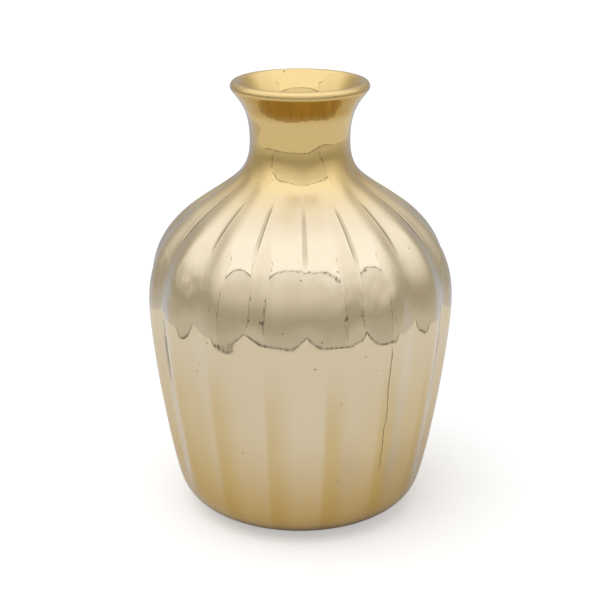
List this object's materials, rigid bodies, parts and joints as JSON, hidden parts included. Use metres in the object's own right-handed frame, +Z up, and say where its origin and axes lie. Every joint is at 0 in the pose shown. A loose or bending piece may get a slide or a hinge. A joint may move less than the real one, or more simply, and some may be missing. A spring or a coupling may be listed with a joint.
{
  "type": "vase",
  "caption": "Bottle-shaped flower vase with soft vertical flutes, a drawn-in neck and a rolled lip, plated in mirror gold, standing on small stick-on pads.",
  "frame": {"origin": "on the surface the vase stands on, under the middle of the vase", "axes": "+Z up along the vase's own axis, -Y towards the side that the picture shows, +X to its right"},
  "size_m": [0.1396, 0.1396, 0.2026],
  "materials": {
    "plated_gold": "polished",
    "pad_foam": "matte"
  },
  "bodies": {
    "root": {"vessel": "plated_gold", "foot_pad_1": "pad_foam", "foot_pad_2": "pad_foam", "foot_pad_3": "pad_foam", "foot_pad_4": "pad_foam"}
  },
  "joints": []
}
